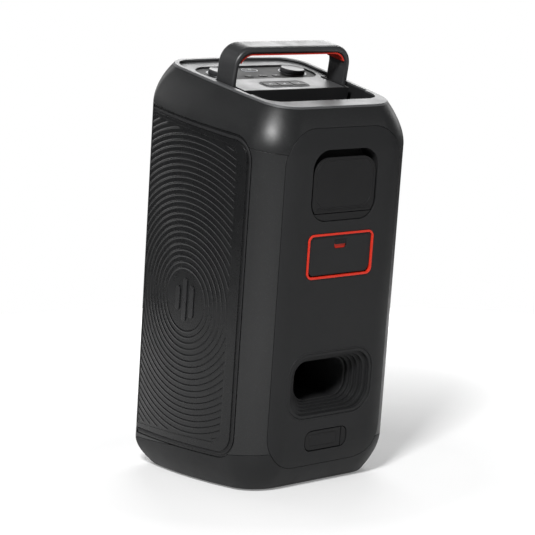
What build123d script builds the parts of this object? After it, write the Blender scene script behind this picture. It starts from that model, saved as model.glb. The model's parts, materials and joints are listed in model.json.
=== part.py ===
"""Party speaker: a tall portable loudspeaker that leans back a little on its base.

Every piece is drawn in the cabinet's own frame: x across, s from front to rear, v up along the
leaning back. The finished pieces are then tipped back by LEAN and set on the floor, so that the
row frame has +Z up, -Y to the front and its origin on the floor under the middle.
Lengths are millimetres and angles are degrees.
"""

import math
import os

from build123d import *

# ---------------------------------------------------------------- driving dimensions
LEAN = 6.1               # how far the cabinet leans back
FLOOR_SLOPE = math.tan(math.radians(LEAN))
FOOT = 3.0               # the base stands this far off the floor
CENTRE_Y = -9.75         # moves the leaning body so that its box is centred over the origin
SKIN = 3.0               # the rear and side panels lie in a recess this deep
WALL = 6.0               # cabinet wall
SEAM = 0.35              # half of the gap at a seam between two covers

FRONT = -151.5           # front corners
BULGE = 10.0             # how far the front bows out past its corners
REAR = 125.9             # flat rear face
MID = -40.0              # where the sides are widest
HALF_FRONT, HALF_MID, HALF_REAR = 137.0, 145.0, 124.1
R_FRONT, R_REAR = 14.0, 60.0

DECK_TILT = 7.18         # the top falls towards the rear
DECK_V = 566.5           # height of the rim plane on the axis s = 0
CAP_SEAM_V = 507.6       # height of the top cover's seam on the same axis
BASE_SEAM_V, BASE_SEAM_SLOPE = 51.7, 0.17

RIM = dict(half_front=118.5, half_mid=114.5, half_rear=103.5, front=-149.5, bulge=6, rear=104,
           r_front=40, r_rear=42)
BODY = dict(half_front=HALF_FRONT, half_mid=HALF_MID, half_rear=HALF_REAR, front=FRONT,
            bulge=BULGE, rear=REAR, r_front=R_FRONT, r_rear=R_REAR)
SOLE = dict(half_front=118, half_mid=126, half_rear=106, front=-139, bulge=8, rear=104,
            r_front=34, r_rear=48)

DECK_DROP = 4.0          # the deck lies this far under the rim
PANEL_DROP = 6.0         # the control panel's face
RIM_WIDTH = 6.2          # width of the rim's flange
DECK_REAR = 10.0         # rear edge of the deck, in front of the handle pocket
POCKET_REAR = 77.0
POCKET_DEPTH = 43.0
POCKET_HALF, POCKET_R = 101.0, 28.0   # rear end of the pocket
ARM_SLOT_IN, ARM_SLOT_OUT = 93.8, 105.0
SLOT_FRONT, SLOT_REAR = -49.5, 37.0   # ends of the slots for the handle's arms

HANDLE_HALF = 103.6      # half the handle's width
HANDLE_TOP = 53.0
HANDLE_DEEP = 40.0       # the grip's width, front to rear
HANDLE_THICK = 9.0
GRIP_LINER = 2.2
HINGE_T, HINGE_H = -26.5, -20.0
PIN_R = 4.0
RUN = 0.05               # running clearance on a radius
GAP = 0.4                # clearance round a button or a cover

KNOB_X, KNOB_T, KNOB_R = 65.0, -86.0, 18.0
POWER_T = -104.0
FUNCTION_T = -73.0
FUNCTION_X = (23.5, -1.0, -25.5)
PAD_T, PAD_PITCH = -21.0, 24.5

PANEL_HALF, PANEL_LOW, PANEL_HIGH = 101.6, 45.6, 526.0
SIDE_REAR, SIDE_LOW, SIDE_HIGH = 85.0, 36.0, 520.0
SIDE_BAND = 8.5
FIELD_REAR = 60.0        # rear edge of a side panel's ringed field
FIELD_DEEP = 1.0         # how deep the field is sunk
FIELD_LOW = (34.0, 76.0)     # height of its lower edge at s = -260 and at its rear edge
FIELD_HIGH = (520.0, 495.0)  # and of its upper edge

IO_HALF, IO_LOW, IO_HIGH = 58.0, 397.6, 497.2
IO_DEEP = 26.0
DOOR_HALF, DOOR_LOW, DOOR_HIGH = 58.5, 317.7, 381.0
BAY_DEEP = 108.0
PORT_V, PORT_HALF, PORT_TALL = 164.2, 75.5, 94.0
BORE_HALF, BORE_TALL, PORT_LENGTH = 45.0, 56.0, 110.0
MAINS_MID, MAINS_HALF, MAINS_V, MAINS_TALL = 0.5, 38.5, 82.9, 31.0
MAINS_DEEP = 22.0
COVER_T = 2.6

BAFFLE_FRONT, BAFFLE_T = -146.0, 9.0
GRILLE_T = 1.4
WOOFER_V = {"upper": 392.0, "lower": 163.0}
WOOFER_R = 66.0
RING_IN, RING_OUT = 79.0, 86.0
TWEETER_V, TWEETER_X, TWEETER_R = 277.5, 62.0, 27.0

TUB = 2.2                # wall of the trays behind and under the covers
RIM_T = 2.6              # thickness of the rim's flange
TRIM = 6.6               # the deck starts this far inside the rim's outer edge
PANEL_X, PANEL_T0, PANEL_T1 = 99.0, -121.5, -52.5
PAD_X = 39.0             # half the play pad's width
HORN_DEEP, HORN_STEPS = 26.0, 5   # the bass port's stepped mouth
IO_HINGE_V = 410.3       # hinge line of the socket cover
LATCH_V = 365.0          # middle of the battery latch
MAINS_HINGE_X = -25.8    # hinge line of the mains cover
SCREW_R = 1.6
BADGE_S, BADGE_V = -33.0, 262.0
BADGE_BARS = (34.0, 62.0, 46.0)

made = {}


# ---------------------------------------------------------------- frames and small helpers
def deck_plane():
    """The rim's plane: x across, y to the rear along the deck, z out of the deck."""
    tilt = math.radians(DECK_TILT)
    normal = (0, math.sin(tilt), math.cos(tilt))
    return Plane(origin=(0, 0, DECK_V), x_dir=(1, 0, 0), z_dir=normal)


DECK = deck_plane().location


def outline(half_front, half_mid, half_rear, front, bulge, rear, r_front, r_rear, inset=0.0):
    """Plan outline: bowed front, bowed sides, flat rear, round corners, all moved in by inset."""
    f, r = front + inset, rear - inset
    hf, hm, hr = half_front - inset, half_mid - inset, half_rear - inset
    edges = [
        ThreePointArc((-hf, f), (0, f - bulge), (hf, f)),
        ThreePointArc((hf, f), (hm, MID), (hr, r)),
        Line((hr, r), (-hr, r)),
        ThreePointArc((-hr, r), (-hm, MID), (-hf, f)),
    ]
    face = make_face(edges)
    face = fillet(face.vertices().filter_by(lambda p: p.Y < 0), max(r_front - inset, 3))
    return fillet(face.vertices().filter_by(lambda p: abs(p.Y - r) < 1e-4), max(r_rear - inset, 3))


def prism(face, height):
    """A face in its own x and y, extruded up its own z."""
    return extrude(face, height, dir=(0, 0, 1))


def blend_sizes(a, b, share):
    return {k: a[k] + (b[k] - a[k]) * share for k in a}


def section(size, v0, slope, inset=0.0):
    """The outline on a plane that crosses the axis at v0 and climbs by slope towards the rear."""
    tilt = math.atan(slope)
    plane = Plane(origin=(0, 0, v0), x_dir=(1, 0, 0), z_dir=(0, -math.sin(tilt), math.cos(tilt)))
    return plane * scale(outline(**size, inset=inset), by=(1, 1 / math.cos(tilt), 1))


DECK_SLOPE = -math.tan(math.radians(DECK_TILT))
CAP_STEPS = (0.0, 0.22, 0.45, 0.7, 1.0)


def cap_solid(inset=0.0, gap=SEAM):
    """The shoulder above the seam, which draws in ever faster towards the rim."""
    faces = []
    for share in CAP_STEPS:
        size = blend_sizes(BODY, RIM, share ** 1.8)
        v0 = CAP_SEAM_V + gap + (DECK_V - CAP_SEAM_V - gap) * share
        faces.append(section(size, v0, DECK_SLOPE, inset))
    return loft(faces)


def base_solid(inset=0.0, gap=SEAM):
    """The base under its seam, drawn in the same way towards the sole."""
    faces = []
    for share in CAP_STEPS:
        size = blend_sizes(BODY, SOLE, share ** 1.8)
        top = BASE_SEAM_V - gap
        v0 = top + (FOOT / math.cos(math.radians(LEAN)) - top) * share
        slope = BASE_SEAM_SLOPE + (FLOOR_SLOPE - BASE_SEAM_SLOPE) * share
        faces.append(section(size, v0, slope, inset))
    return loft(faces)


def slab(v0, slope, up):
    """Everything above (up) or below a plane across the cabinet."""
    tilt = math.atan(slope)
    plane = Plane(origin=(0, 0, v0), x_dir=(1, 0, 0), z_dir=(0, -math.sin(tilt), math.cos(tilt)))
    return plane * Pos(0, 0, 400 if up else -400) * Box(900, 900, 800)


def tube(inset=0.0, gap=SEAM):
    """The upright middle of the cabinet between the two seams."""
    body = Pos(0, 0, -60) * prism(outline(**BODY, inset=inset), 700)
    body -= slab(CAP_SEAM_V - gap, DECK_SLOPE, True)
    return body - slab(BASE_SEAM_V + gap, BASE_SEAM_SLOPE, False)


def whole_body(inset=0.0):
    """Base, middle and shoulder as one solid, with no gap at the seams."""
    return cap_solid(inset, gap=0) + tube(inset, gap=0) + base_solid(inset, gap=0)


def block(x0, x1, s0, s1, v0, v1, r=0.0):
    """A box between two corners, its edges along s rounded by r."""
    box = Pos((x0 + x1) / 2, (s0 + s1) / 2, (v0 + v1) / 2) * Box(x1 - x0, s1 - s0, v1 - v0)
    return fillet(box.edges().filter_by(Axis.Y), r) if r else box


def on_deck(x0, x1, t0, t1, h0, h1, r=0.0):
    """A box in the deck's frame, its upright edges rounded by r."""
    face = Pos((x0 + x1) / 2, (t0 + t1) / 2) * Rectangle(x1 - x0, t1 - t0)
    if r:
        face = fillet(face.vertices(), r)
    return DECK * Pos(0, 0, h0) * prism(face, h1 - h0)


def deck_disc(x, t, r, h0, h1):
    return DECK * Pos(x, t, (h0 + h1) / 2) * Cylinder(r, h1 - h0)


def along_s(x, v, r, s0, s1):
    """A round bar from front to rear."""
    return Pos(x, (s0 + s1) / 2, v) * Rot(X=90) * Cylinder(r, s1 - s0)


def across(s, v, r, x0, x1):
    """A round bar across the cabinet."""
    return Pos((x0 + x1) / 2, s, v) * Rot(Y=90) * Cylinder(r, x1 - x0)


def turned(v, profile):
    """A profile of (radius, s) points turned about the front-to-rear line at height v."""
    face = make_face(Polyline(*profile, close=True))
    return Pos(0, 0, v) * revolve(face, Axis.Y)


def keep(name, *pieces, lean=True):
    """Tips a finished node back with the cabinet and keeps it under its name."""
    place = Pos(0, CENTRE_Y, 0) * Rot(X=-LEAN) if lean else Pos(0, CENTRE_Y, 0)
    solids = [place * s for piece in pieces for s in piece.solids()]
    made[name] = solids[0] if len(solids) == 1 else Compound(children=solids)


# ---------------------------------------------------------------- covers
def panel_region(grow=0.0, deep=60.0):
    """The rear panel's outline, run through the rear half of the cabinet."""
    low, high = PANEL_LOW - grow, PANEL_HIGH + grow
    half = PANEL_HALF + grow
    return block(-half, half, REAR - deep, REAR + 30, low, high, 50 + grow)


def side_region(grow=0.0):
    """The side panels' outline, run right across the cabinet."""
    face = make_face(Polyline(
        (-260, SIDE_LOW - 14 - grow), (SIDE_REAR + grow, SIDE_LOW + 22 - grow),
        (SIDE_REAR + grow, SIDE_HIGH - 10 + grow), (-260, SIDE_HIGH + 10 + grow), close=True))
    face = fillet(face.vertices().filter_by(lambda p: p.X > 0), 34 + grow)
    return Plane.YZ * extrude(face, 300, both=True)


def field_region():
    """The ringed field inside each side panel, run right across the cabinet."""
    low, high = FIELD_LOW, FIELD_HIGH
    face = make_face(Polyline(
        (-260, low[0]), (FIELD_REAR, low[1]), (FIELD_REAR, high[1]), (-260, high[0]), close=True))
    face = fillet(face.vertices().filter_by(lambda p: p.X > 0), 20)
    return Plane.YZ * extrude(face, 300, both=True)


def rear_opening(grow=0.0, s0=REAR - 12, s1=REAR + 20):
    """Everything that opens through the rear panel."""
    mains = (MAINS_MID - MAINS_HALF - grow, MAINS_MID + MAINS_HALF + grow)
    return (
        block(-IO_HALF - grow, IO_HALF + grow, s0, s1, IO_LOW - grow, IO_HIGH + grow, 28 + grow)
        + block(-DOOR_HALF - grow, DOOR_HALF + grow, s0, s1, DOOR_LOW - grow, DOOR_HIGH + grow,
                10 + grow)
        + block(-PORT_HALF - grow, PORT_HALF + grow, s0, s1, PORT_V - PORT_TALL / 2 - grow,
                PORT_V + PORT_TALL / 2 + grow, 33 + grow)
        + block(*mains, s0, s1, MAINS_V - MAINS_TALL / 2 - grow, MAINS_V + MAINS_TALL / 2 + grow,
                12 + grow)
    )


def covers():
    """Top cover, cabinet, base, rear panel and side panels, cut from one leaning skin."""
    regions = (panel_region(SEAM), side_region(SEAM))
    holes = rear_opening(TUB + 0.6)
    front_cut = Pos(0, BAFFLE_FRONT + 3 - 300, 280) * Box(400, 600, 900)
    for name, whole in (("top_cap", cap_solid), ("cabinet_shell", tube), ("base_cap", base_solid)):
        outer, layer = whole(), whole() - whole(SKIN + SEAM)
        inner = whole(WALL, gap=-1.0)
        if name == "base_cap":
            inner -= slab(FOOT + WALL, FLOOR_SLOPE, False)
        piece = outer - inner - holes
        for region in regions:
            piece -= layer & region
        if name == "cabinet_shell":
            piece -= front_cut
        if name == "top_cap":
            piece -= slab(DECK_V - RIM_T - 0.3, DECK_SLOPE, True)
            piece -= raised(pocket_2d(TUB + 0.1), -POCKET_DEPTH - TUB - 1, 9)
        keep(name, piece)

    skin = whole_body() - whole_body(SKIN)
    panel = (skin & panel_region(-SEAM)) - rear_opening(0.0, REAR - 40, REAR + 20)
    keep("rear_panel", panel)

    sides = skin & side_region(-SEAM)
    sides -= front_cut
    band = side_region(-SEAM) - side_region(-SIDE_BAND)
    sides -= band - whole_body(1.6)
    sides -= field_region() - whole_body(FIELD_DEEP)
    pair = sorted(sides.solids(), key=lambda s: -s.volume)[:2]
    pair.sort(key=lambda s: s.center().X)
    keep("side_panel_left", pair[0])
    keep("side_panel_right", pair[1])

    proud = tube(-0.5, gap=0) - tube(FIELD_DEEP, gap=-1)
    badges = []
    for k, tall in enumerate(BADGE_BARS):
        bar = Pos(BADGE_S + 16 * (k - 1), BADGE_V) * Rectangle(9, tall)
        bar = fillet(bar.vertices(), 4.4)
        badges.append(proud & (Plane.YZ * extrude(bar, 300, both=True)))
    keep("side_badges", *badges)
    return panel


def front():
    """Perforated front cover, the light rings on it, and the baffle behind it."""
    shell = tube() - Pos(0, 0, -60) * prism(outline(**BODY, inset=GRILLE_T), 700)
    keep("front_grille", shell & (Pos(0, BAFFLE_FRONT + 2.6 - 300, 280) * Box(400, 600, 900)))
    proud = tube(-2.0) - tube(-0.05, gap=-1)
    rings = []
    for v in WOOFER_V.values():
        ring = along_s(0, v, RING_OUT, -200, -100) - along_s(0, v, RING_IN, -200, -100)
        rings.append(proud & ring)
    keep("light_rings", *rings)

    plate = Pos(0, 0, -60) * prism(outline(**BODY, inset=WALL + 0.4), 700)
    plate &= block(-200, 200, BAFFLE_FRONT, BAFFLE_FRONT + BAFFLE_T, -60, 700)
    plate -= slab(CAP_SEAM_V - 1, DECK_SLOPE, True)
    plate -= slab(BASE_SEAM_V + 1, BASE_SEAM_SLOPE, False)
    for v in WOOFER_V.values():
        plate -= along_s(0, v, WOOFER_R - 4, -200, 0)
        for x, dv in screw_spots():
            plate -= along_s(x, v + dv, SCREW_R + 0.1, -200, 0)
    for side in (-1, 1):
        plate -= along_s(side * TWEETER_X, TWEETER_V, TWEETER_R - 4, -200, 0)
    keep("front_baffle", plate)


def screw_spots():
    """Four screws round a woofer's flange."""
    reach = (WOOFER_R + 0.5) * math.sqrt(0.5)
    return [(a * reach, b * reach) for a in (-1, 1) for b in (-1, 1)]


# ---------------------------------------------------------------- drivers
def drivers():
    """Two woofers and two tweeters on the baffle."""
    face, edge = BAFFLE_FRONT, WOOFER_R + 5
    baskets, magnets, surrounds, screws = [], [], [], []
    for where, v in WOOFER_V.items():
        basket = turned(v, [
            (WOOFER_R - 8, face - 3), (edge, face - 3), (edge, face), (WOOFER_R - 4.5, face),
            (42, face + 48), (42, face + 53), (20, face + 53), (20, face + 50), (39, face + 50),
            (WOOFER_R - 8, face)])
        for x, dv in screw_spots():
            basket -= along_s(x, v + dv, SCREW_R + 0.1, -200, -100)
            head = along_s(x, v + dv, 3.4, face - 5, face - 3)
            shank = along_s(x, v + dv, SCREW_R, face - 3, face + 8)
            screws.append(head + shank)
        for turn in (45, 135, 225, 315):
            window = Pos(0, face + 28, v) * Rot(Y=turn) * Pos(48, 0, 0) * Box(50, 26, 26)
            basket -= window
        baskets.append(basket)
        magnets.append(turned(v, [
            (0, face + 53.2), (46, face + 53.2), (46, face + 72), (38, face + 76), (0, face + 76)]))
        roll = [(WOOFER_R - 8.2 - 6 * (1 - math.cos(a)), face - 3 - 5 * math.sin(a))
                for a in (math.pi * k / 10 for k in range(11))]
        inner = [(r, s + 1.2) for r, s in reversed(roll)]
        surrounds.append(turned(v, roll + inner))
        cone_edge = WOOFER_R - 21
        cone = turned(v, [
            (cone_edge, face - 2.5), (cone_edge - 1.6, face - 3.5), (20, face + 18), (16, face + 16),
            (8, face + 12.4), (0, face + 11.4), (0, face + 13), (8, face + 14), (14, face + 17.4),
            (14, face + 44), (15, face + 44), (15, face + 20.5), (20, face + 20.5)])
        keep(f"woofer_cone_{where}", cone)
    keep("woofer_baskets", *baskets)
    keep("woofer_magnets", *magnets)
    keep("woofer_surrounds", *surrounds)
    keep("driver_screws", *screws)

    for side, name in ((-1, "left"), (1, "right")):
        horn = turned(TWEETER_V, [
            (0, face + 4), (7, face + 5), (10, face + 8.5), (12, face + 8.5), (15, face + 4),
            (TWEETER_R - 3, face - 2.5), (TWEETER_R, face - 2.5), (TWEETER_R, face),
            (TWEETER_R - 4.5, face), (TWEETER_R - 8, face + 14), (TWEETER_R - 8, face + 26),
            (0, face + 26)])
        keep(f"tweeter_{name}", Pos(side * TWEETER_X, 0, 0) * horn)


# ---------------------------------------------------------------- rear
def tub(half_low, half_high, v0, v1, r, deep, lip=SKIN):
    """An open box behind the rear panel."""
    s1 = REAR - lip - 0.1
    outer = block(half_low - TUB, half_high + TUB, s1 - deep - TUB, s1, v0 - TUB, v1 + TUB, r + TUB)
    return outer - block(half_low, half_high, s1 - deep, s1 + 9, v0, v1, r)


def rear_port():
    """A stepped horn that narrows into the bass tube."""
    mouth = REAR - 0.6
    tall, half = PORT_TALL / 2 - GAP, PORT_HALF - GAP
    port = block(-half, half, mouth - HORN_DEEP, mouth, PORT_V - tall, PORT_V + tall, 32.6)
    for step in range(HORN_STEPS + 1):
        share = (step / HORN_STEPS) ** 0.8
        h = half - 4 + (BORE_HALF - half + 4) * share
        t = tall - 4 + (BORE_TALL / 2 - tall + 4) * share
        floor = mouth - HORN_DEEP * step / HORN_STEPS
        port -= block(-h, h, floor - HORN_DEEP / HORN_STEPS - 0.01, REAR + 9, PORT_V - t, PORT_V + t,
                      30 - 9 * share)
    pipe = block(-BORE_HALF - 3, BORE_HALF + 3, mouth - PORT_LENGTH, mouth - HORN_DEEP + 0.5,
                 PORT_V - BORE_TALL / 2 - 3, PORT_V + BORE_TALL / 2 + 3, 24)
    bore = block(-BORE_HALF, BORE_HALF, mouth - PORT_LENGTH - 9, REAR, PORT_V - BORE_TALL / 2,
                 PORT_V + BORE_TALL / 2, 21)
    keep("bass_port", port + pipe - bore)


def hinged_cover(half, v0, v1, r, hole, face):
    """A thin cover, rounded about its hinge line at v0 and clear of the hole it closes."""
    axis_s = REAR - face - COVER_T / 2
    s0, s1 = axis_s - COVER_T / 2, axis_s + COVER_T / 2
    plate = block(-half, half, s0, s1, v0 - 20, v1, r) & block(-half, half, s0, s1, v0, v1 + 1)
    return (plate + across(axis_s, v0, COVER_T / 2, -half, half)) & hole


def rear_sockets(panel):
    """The socket recess and its soft cover. Returns the strip the cover is hinged on."""
    keep("socket_tray", tub(-IO_HALF, IO_HALF, IO_LOW, IO_HIGH, 28, IO_DEEP) - panel)
    floor = REAR - SKIN - 0.1 - IO_DEEP
    mid = (IO_LOW + IO_HIGH) / 2
    plate = block(-IO_HALF + 2, IO_HALF - 2, floor, floor + 3, IO_LOW + 2, IO_HIGH - 2, 26)
    jacks = []
    for x in (-26, 0, 26):
        plate -= along_s(x, mid + 18, 9.1, floor - 9, floor + 9)
        jack = along_s(x, mid + 18, 9, floor, floor + 7)
        jacks.append(jack - along_s(x, mid + 18, 3.4, floor + 1, floor + 9))
    plate -= block(-33, -17, floor - 9, floor + 9, mid - 18, mid - 9)
    usb = block(-32.6, -17.4, floor, floor + 5, mid - 17.6, mid - 9.4)
    usb -= block(-31, -19, floor + 1, floor + 9, mid - 16, mid - 11.4)
    for x in (-2, 22):
        plate -= along_s(x, mid - 13.5, 5.1, floor - 9, floor + 9)
        jack = along_s(x, mid - 13.5, 5, floor, floor + 4.6)
        jacks.append(jack - along_s(x, mid - 13.5, 1.9, floor + 1, floor + 9))
    keep("socket_plate", plate)
    keep("sockets", *jacks, usb)

    hole = block(-IO_HALF + 2.8, IO_HALF - 2.8, 0, 200, IO_LOW + 2.8, IO_HIGH - 2.8, 25.2)
    keep("socket_cover", hinged_cover(IO_HALF - 3, IO_HINGE_V, IO_HIGH - 11, 25, hole, 1.0))
    axis_s = REAR - 1.0 - COVER_T / 2
    s0, s1 = axis_s - COVER_T / 2, axis_s + COVER_T / 2
    anchor = block(-IO_HALF + 1, IO_HALF - 1, s0, s1, IO_LOW + 1, IO_LOW + 80, 27)
    anchor &= block(-90, 90, 0, 200, IO_LOW, IO_HINGE_V - COVER_T / 2 - 0.8)
    return anchor


def battery():
    """The battery bay with its door, seal, latch and pack."""
    low, high, half = DOOR_LOW, DOOR_HIGH, DOOR_HALF
    keep("battery_bay", tub(1 - half, half - 1, low + 1, high - 1, 9, BAY_DEEP, SKIN + 4.6))
    ring = block(0.2 - half, half - 0.2, REAR - SKIN - 4, REAR + 1.4, low + 0.2, high - 0.2, 9.8)
    ring -= block(3 - half, half - 3, 0, REAR + 9, low + 3, high - 3, 7)
    keep("battery_door_seal", ring)
    hole = block(3.6 - half, half - 3.6, 0, 200, low + 3.6, high + 40, 13.5)
    hole &= block(3.6 - half, half - 3.6, 0, 200, low - 20, high - 3.6, 6.4)
    door = hinged_cover(DOOR_HALF - 3.6, DOOR_LOW + 5.6, DOOR_HIGH - 3.6, 6.4, hole, 0.6)
    slot = block(-11, 11, REAR - 9, REAR + 9, LATCH_V - 6.5, LATCH_V + 6.5, 3.5)
    back = REAR - 0.6 - COVER_T
    keep("battery_door", door - slot)
    keep("latch_bed", block(-13, 13, back - 1.6, back, LATCH_V - 8.5, LATCH_V + 8.5, 3))
    keep("battery_latch", block(-10.4, 10.4, back + 0.3, REAR - 0.9, LATCH_V - 0.6, LATCH_V + 6.1, 3))
    pack = block(-50, 50, 24, REAR - 18, DOOR_LOW + 7, DOOR_HIGH - 7, 4)
    keep("battery_pack", fillet(pack.edges().filter_by(Axis.X), 2))


def mains(panel):
    """The mains inlet under a soft cover. Returns the strip the cover is hinged on."""
    x0, x1 = MAINS_MID - MAINS_HALF, MAINS_MID + MAINS_HALF
    v0, v1 = MAINS_V - MAINS_TALL / 2, MAINS_V + MAINS_TALL / 2
    keep("mains_tray", tub(x0, x1, v0, v1, 12, MAINS_DEEP) - panel)
    floor = REAR - SKIN - 0.1 - MAINS_DEEP
    body = block(-13, 13, floor, floor + 12, MAINS_V - 9, MAINS_V + 9, 8.9)
    pins = []
    for x in (-4.3, 4.3):
        body -= along_s(x, MAINS_V, 5.2, floor + 2, floor + 20)
        pins.append(along_s(x, MAINS_V, 1.2, floor + 2, floor + 11))
    keep("mains_inlet", body)
    keep("mains_pins", *pins)

    axis_s = REAR - 1.0 - COVER_T / 2
    s0, s1 = axis_s - COVER_T / 2, axis_s + COVER_T / 2
    hole = block(x0 + 1.6, x1 - 1.6, s0, s1, v0 + 1.6, v1 - 1.6, 10.4)
    plate = hole & block(MAINS_HINGE_X, 90, 0, 200, 0, 200)
    bar = Pos(MAINS_HINGE_X, axis_s, MAINS_V) * Cylinder(COVER_T / 2, MAINS_TALL)
    keep("mains_cover", plate + (bar & block(x0 + 1.6, x1, 0, 200, v0 + 1.6, v1 - 1.6, 10.4)))
    anchor = block(x0 + 1, x1, s0, s1, v0 + 1, v1 - 1, 11)
    return anchor & block(-90, MAINS_HINGE_X - COVER_T / 2 - 0.8, 0, 200, 0, 200)


# ---------------------------------------------------------------- top
def opening_2d(inset):
    """The rim's plan outline on the deck plane, moved in by inset."""
    return scale(outline(**RIM, inset=inset), by=(1, 1 / math.cos(math.radians(DECK_TILT)), 1))


def rect_2d(x0, x1, t0, t1):
    return Pos((x0 + x1) / 2, (t0 + t1) / 2) * Rectangle(x1 - x0, t1 - t0)


def raised(face, h0, h1):
    """A plan face on the deck, from height h0 to h1."""
    return DECK * Pos(0, 0, h0) * prism(face, h1 - h0)


def slots_2d(grow=0.0):
    """Where the handle's arms go down beside the deck."""
    x0, x1 = ARM_SLOT_IN - grow, ARM_SLOT_OUT + grow
    t0, t1 = SLOT_FRONT - grow, SLOT_REAR + grow
    return rect_2d(x0, x1, t0, t1) + rect_2d(-x1, -x0, t0, t1)


def pocket_2d(grow=0.0):
    """The handle's U-shaped pocket."""
    bay = rounded(-POCKET_HALF - grow, POCKET_HALF + grow, -100, POCKET_REAR + grow, POCKET_R + grow)
    wide = bay & opening_2d(TRIM - grow) & rect_2d(-200, 200, DECK_REAR - grow, POCKET_REAR + grow)
    return wide + slots_2d(grow)


def rounded(x0, x1, t0, t1, r):
    return fillet(rect_2d(x0, x1, t0, t1).vertices(), r)


def deck():
    """Rim, deck, handle pocket and control panel."""
    ring = cap_solid() - slab(DECK_V - RIM_T, DECK_SLOPE, False)
    hole = opening_2d(RIM_WIDTH) & rect_2d(-200, 200, -200, DECK_REAR)
    keep("deck_rim", ring - raised(hole, -9, 9) - raised(pocket_2d(), -9, 9))

    well = raised(pocket_2d(TUB), -POCKET_DEPTH - TUB, -RIM_T - 0.1)
    well -= raised(pocket_2d(), -POCKET_DEPTH, 9)
    keep("handle_pocket", well)

    plate = opening_2d(TRIM + 0.2) & rect_2d(-200, 200, -200, DECK_REAR - TUB - 0.2)
    plate -= slots_2d(TUB + 0.3)
    plate -= rounded(-PANEL_X - GAP, PANEL_X + GAP, PANEL_T0 - GAP, PANEL_T1 + GAP, 30)
    plate -= rounded(-PAD_X - GAP, PAD_X + GAP, PAD_T - 14 - GAP, PAD_T + 14 + GAP, 9)
    keep("deck_panel", raised(plate, -DECK_DROP - 3, -DECK_DROP))

    panel = rounded(-PANEL_X, PANEL_X, PANEL_T0, PANEL_T1, 30)
    board = rounded(-84, 84, PANEL_T0 + 8, PANEL_T1 - 8, 6)
    for x in (-KNOB_X, KNOB_X):
        panel -= Pos(x, KNOB_T) * Circle(3 + RUN)
        board -= Pos(x, KNOB_T) * Circle(6)
    panel -= rounded(-11.4, 11.4, POWER_T - 6.4, POWER_T + 6.4, 6)
    for x in FUNCTION_X:
        panel -= rounded(x - 7.4, x + 7.4, FUNCTION_T - 4.4, FUNCTION_T + 4.4, 4)
    keep("control_panel", raised(panel, -PANEL_DROP - 3, -PANEL_DROP))
    keep("control_board", raised(board, -PANEL_DROP - 8, -PANEL_DROP - 6.4))

    pad = rounded(-PAD_X, PAD_X, PAD_T - 14, PAD_T + 14, 8.6)
    for k in (-1, 0, 1):
        x = k * PAD_PITCH
        pad -= rounded(x - 11.4, x + 11.4, PAD_T - 8.4, PAD_T + 8.4, 3.4)
    keep("play_pad", raised(pad, -DECK_DROP - 3.4, -DECK_DROP + 0.4))


def controls():
    """Two knobs on shafts, the power button, three function keys and three play keys."""
    for x, name in ((-KNOB_X, "left"), (KNOB_X, "right")):
        top = deck_disc(x, KNOB_T, KNOB_R, -PANEL_DROP + 0.5, 1.0)
        top = fillet(top.edges().group_by(Axis.Z)[-1], 1.6)
        shaft = deck_disc(x, KNOB_T, 3, -PANEL_DROP - 12, -PANEL_DROP + 0.6)
        dish = DECK * Pos(x, KNOB_T, 60.2) * Sphere(60)
        keep(f"knob_{name}", top + shaft - dish)
    encoders = [on_deck(x - 8, x + 8, KNOB_T - 8, KNOB_T + 8, -PANEL_DROP - 16, -PANEL_DROP - 9.2)
                - deck_disc(x, KNOB_T, 3 + RUN, -60, 0) for x in (-KNOB_X, KNOB_X)]
    keep("knob_encoders", *encoders)
    keep("power_button", on_deck(-11, 11, POWER_T - 6, POWER_T + 6, -PANEL_DROP - 4,
                                 -PANEL_DROP + 0.8, 5.6))
    for name, x in zip(("light", "pairing", "boost"), FUNCTION_X):
        keep(f"{name}_button", on_deck(x - 7, x + 7, FUNCTION_T - 4, FUNCTION_T + 4,
                                       -PANEL_DROP - 4, -PANEL_DROP + 0.6, 3.6))
    for name, k in (("track_back", 1), ("play", 0), ("track_next", -1)):
        x = k * PAD_PITCH
        keep(f"{name}_button", on_deck(x - 11, x + 11, PAD_T - 8, PAD_T + 8, -DECK_DROP - 5,
                                       -DECK_DROP + 0.9, 3))


# ---------------------------------------------------------------- handle
def arch(half, top, r, bottom=-200.0):
    """An upright arch outline on the deck's cross plane, filled in."""
    face = make_face(Polyline((-half, bottom), (half, bottom), (half, top), (-half, top), close=True))
    return fillet(face.vertices().filter_by(lambda p: p.Y > 0), r)


def across_deck(face, t0, t1):
    """A face in x and h, run along the deck from t0 to t1."""
    return DECK * Pos(0, t1, 0) * Rot(X=90) * prism(face, t1 - t0)


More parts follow.
